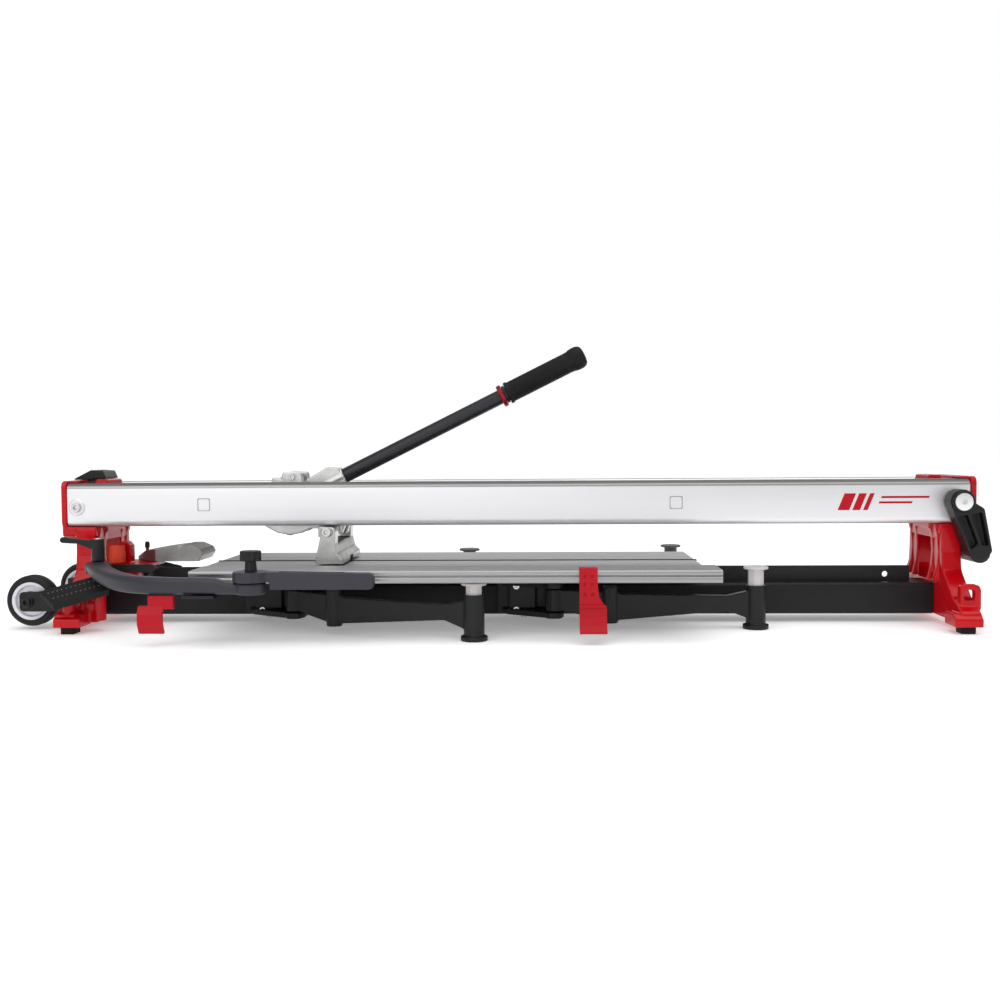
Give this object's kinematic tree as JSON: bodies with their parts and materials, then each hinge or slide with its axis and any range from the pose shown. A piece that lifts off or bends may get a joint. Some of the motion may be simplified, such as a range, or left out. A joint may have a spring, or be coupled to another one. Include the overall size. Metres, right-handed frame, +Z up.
{
  "type": "tile cutter",
  "caption": "Long manual tile cutter with twin guides, rolling scoring carriage and lever, tipping tables, swing-out support arms, lateral stop and transport wheels.",
  "frame": {"origin": "on the floor, below the middle of the whole machine's box", "axes": "+X along the guides towards the carrying handle, -Y towards the user, +Z up"},
  "size_m": [1.2886, 0.4998, 0.3762],
  "materials": {
    "red_paint": "gloss",
    "red_anodised": "satin",
    "guide_aluminium": "satin anodised",
    "table_aluminium": "extruded, brushed",
    "beam_paint": "satin",
    "strip_steel": "satin",
    "tube_paint": "satin",
    "black_plastic": "moulded",
    "grey_plastic": "moulded",
    "light_plastic": "moulded",
    "red_plastic": "satin",
    "orange_plastic": "satin",
    "rubber": "textured",
    "tyre": "moulded",
    "cast_metal": "cast, bead blasted",
    "steel": "turned"
  },
  "bodies": {
    "base": {"beam": "beam_paint", "breaking_strip": "strip_steel", "left_casting": "red_paint", "right_casting": "red_paint", "front_guide": "guide_aluminium", "rear_guide": "guide_aluminium", "front_pivot_bar": "black_plastic", "rear_pivot_bar": "black_plastic", "left_front_foot": "rubber", "left_rear_foot": "rubber", "right_front_foot": "rubber", "right_rear_foot": "rubber", "carriage_bumper": "black_plastic", "front_step_pad": "rubber", "rear_step_pad": "rubber", "wheel_bracket": "black_plastic", "wheel_axle": "steel", "front_left_bracket": "black_plastic", "front_right_bracket": "black_plastic", "rear_left_bracket": "black_plastic", "rear_right_bracket": "black_plastic", "mitre_bracket": "red_paint", "front_handle_bolt": "steel", "rear_handle_bolt": "steel"},
    "carriage": {"carriage_body": "cast_metal"},
    "lever": {"lever_casting": "cast_metal", "lever_tube": "tube_paint", "grip_collar": "red_anodised", "lever_grip": "rubber"},
    "scoring_holder": {"scoring_holder": "steel"},
    "scoring_wheel": {"scoring_wheel": "steel"},
    "breaker": {"breaker_foot": "cast_metal"},
    "handle": {"carrying_handle": "black_plastic"},
    "front_table": {"front_table": "table_aluminium"},
    "rear_table": {"rear_table": "table_aluminium"},
    "stop_arm": {"stop_arm": "grey_plastic"},
    "ruler": {"ruler_rail": "table_aluminium"},
    "stop_finger": {"stop_finger": "grey_plastic"},
    "stop_knob": {"stop_knob": "black_plastic"},
    "clamp_lever": {"clamp_lever": "black_plastic"},
    "right_clip": {"right_clip": "red_plastic"},
    "left_clip": {"left_clip": "red_plastic"},
    "mitre_plate": {"mitre_plate": "cast_metal"},
    "lock_knob": {"lock_knob": "orange_plastic"},
    "front_left_roller": {"front_left_roller": "steel"},
    "front_left_arm": {"front_left_arm": "black_plastic"},
    "front_left_post": {"front_left_post": "light_plastic"},
    "front_right_roller": {"front_right_roller": "steel"},
    "front_right_arm": {"front_right_arm": "black_plastic"},
    "front_right_post": {"front_right_post": "light_plastic"},
    "rear_left_roller": {"rear_left_roller": "steel"},
    "rear_left_arm": {"rear_left_arm": "black_plastic"},
    "rear_left_post": {"rear_left_post": "light_plastic"},
    "rear_right_roller": {"rear_right_roller": "steel"},
    "rear_right_arm": {"rear_right_arm": "black_plastic"},
    "rear_right_post": {"rear_right_post": "light_plastic"},
    "front_wheel": {"front_wheel": "tyre"},
    "rear_wheel": {"rear_wheel": "tyre"}
  },
  "joints": [
    {"name": "carriage_slide", "type": "slide", "parent": "base", "child": "carriage", "axis": [1, 0, 0], "range_m": [-0.08, 0.755]},
    {"name": "lever_swing", "type": "hinge", "parent": "carriage", "child": "lever", "pos_m": [-0.25033, -0.00842, 0.1765], "axis": [0, -1, 0], "range_deg": [-24, 33]},
    {"name": "scoring_press", "type": "slide", "parent": "carriage", "child": "scoring_holder", "axis": [0, 0, 1], "range_m": [-0.03, 0.04]},
    {"name": "scoring_wheel_spin", "type": "hinge", "parent": "scoring_holder", "child": "scoring_wheel", "pos_m": [-0.28333, -0.00842, 0.128], "axis": [0, 1, 0], "continuous": true},
    {"name": "front_left_roller_spin", "type": "hinge", "parent": "carriage", "child": "front_left_roller", "pos_m": [-0.30733, -0.04132, 0.1634], "axis": [0, 1, 0], "continuous": true},
    {"name": "rear_left_roller_spin", "type": "hinge", "parent": "carriage", "child": "rear_left_roller", "pos_m": [-0.30733, 0.02448, 0.1634], "axis": [0, 1, 0], "continuous": true},
    {"name": "front_right_roller_spin", "type": "hinge", "parent": "carriage", "child": "front_right_roller", "pos_m": [-0.20033, -0.04132, 0.1634], "axis": [0, 1, 0], "continuous": true},
    {"name": "rear_right_roller_spin", "type": "hinge", "parent": "carriage", "child": "rear_right_roller", "pos_m": [-0.20033, 0.02448, 0.1634], "axis": [0, 1, 0], "continuous": true},
    {"name": "breaker_rock", "type": "hinge", "parent": "carriage", "child": "breaker", "pos_m": [-0.21683, -0.00842, 0.127], "axis": [0, 1, 0], "range_deg": [-8, 4.5]},
    {"name": "front_table_tip", "type": "hinge", "parent": "base", "child": "front_table", "pos_m": [-0.05233, -0.01472, 0.0762], "axis": [1, 0, 0], "range_deg": [0, 2.5], "stiffness_Nm_per_rad": 18, "springref_deg": -5.73},
    {"name": "rear_table_tip", "type": "hinge", "parent": "base", "child": "rear_table", "pos_m": [-0.05233, -0.00212, 0.0762], "axis": [-1, 0, 0], "range_deg": [0, 2.5], "stiffness_Nm_per_rad": 18, "springref_deg": -5.73},
    {"name": "handle_swing", "type": "hinge", "parent": "base", "child": "handle", "pos_m": [0.60667, -0.00842, 0.164], "axis": [0, -1, 0], "range_deg": [0, 195]},
    {"name": "front_wheel_spin", "type": "hinge", "parent": "base", "child": "front_wheel", "pos_m": [-0.61033, -0.08942, 0.038], "axis": [0, 1, 0], "continuous": true},
    {"name": "rear_wheel_spin", "type": "hinge", "parent": "base", "child": "rear_wheel", "pos_m": [-0.61033, 0.07258, 0.038], "axis": [0, 1, 0], "continuous": true},
    {"name": "front_left_arm_swing", "type": "hinge", "parent": "base", "child": "front_left_arm", "pos_m": [-0.26033, -0.08542, 0.037], "axis": [0, 0, -1], "range_deg": [-6, 72]},
    {"name": "front_left_post_lift", "type": "slide", "parent": "front_left_arm", "child": "front_left_post", "axis": [0, 0, 1], "range_m": [-0.01, 0.009]},
    {"name": "front_right_arm_swing", "type": "hinge", "parent": "base", "child": "front_right_arm", "pos_m": [0.08267, -0.08542, 0.037], "axis": [0, 0, -1], "range_deg": [-4, 42]},
    {"name": "front_right_post_lift", "type": "slide", "parent": "front_right_arm", "child": "front_right_post", "axis": [0, 0, 1], "range_m": [-0.019, 0.012]},
    {"name": "rear_left_arm_swing", "type": "hinge", "parent": "base", "child": "rear_left_arm", "pos_m": [-0.28233, 0.06858, 0.037], "axis": [0, 0, 1], "range_deg": [-9, 75]},
    {"name": "rear_left_post_lift", "type": "slide", "parent": "rear_left_arm", "child": "rear_left_post", "axis": [0, 0, 1], "range_m": [-0.019, 0.012]},
    {"name": "rear_right_arm_swing", "type": "hinge", "parent": "base", "child": "rear_right_arm", "pos_m": [0.06967, 0.06858, 0.037], "axis": [0, 0, 1], "range_deg": [-40, 60]},
    {"name": "rear_right_post_lift", "type": "slide", "parent": "rear_right_arm", "child": "rear_right_post", "axis": [0, 0, 1], "range_m": [-0.019, 0.012]},
    {"name": "stop_swing", "type": "hinge", "parent": "base", "child": "stop_arm", "pos_m": [-0.51433, -0.10842, 0.084], "axis": [0, 0, -1], "range_deg": [0, 35]},
    {"name": "ruler_slide", "type": "slide", "parent": "stop_arm", "child": "ruler", "axis": [1, 0, 0], "range_m": [-0.012, 0.034]},
    {"name": "finger_swing", "type": "hinge", "parent": "stop_arm", "child": "stop_finger", "pos_m": [-0.28033, -0.22842, 0.084], "axis": [0, 0, -1], "range_deg": [0, 120]},
    {"name": "stop_knob_turn", "type": "hinge", "parent": "stop_arm", "child": "stop_knob", "pos_m": [-0.28033, -0.22842, 0.1], "axis": [0, 0, 1], "continuous": true},
    {"name": "clamp_lever_turn", "type": "hinge", "parent": "stop_arm", "child": "clamp_lever", "pos_m": [-0.51433, -0.10842, 0.092], "axis": [0, 0, 1], "range_deg": [-35, 60]},
    {"name": "right_clip_slide", "type": "slide", "parent": "ruler", "child": "right_clip", "axis": [1, 0, 0], "range_m": [-0.1, 0.12]},
    {"name": "left_clip_swing", "type": "hinge", "parent": "stop_arm", "child": "left_clip", "pos_m": [-0.39033, -0.22742, 0.06], "axis": [-1, 0, 0], "range_deg": [0, 16]},
    {"name": "mitre_plate_turn", "type": "hinge", "parent": "base", "child": "mitre_plate", "pos_m": [-0.48533, -0.00842, 0.084], "axis": [0, 0, 1], "range_deg": [-40, 40]},
    {"name": "lock_knob_turn", "type": "hinge", "parent": "base", "child": "lock_knob", "pos_m": [-0.51033, -0.05442, 0.084], "axis": [0, 0, 1], "continuous": true}
  ],
  "couplings": [
    {"joint": "scoring_press", "follows": "lever_swing", "m_per_rad": 0.0668}
  ]
}
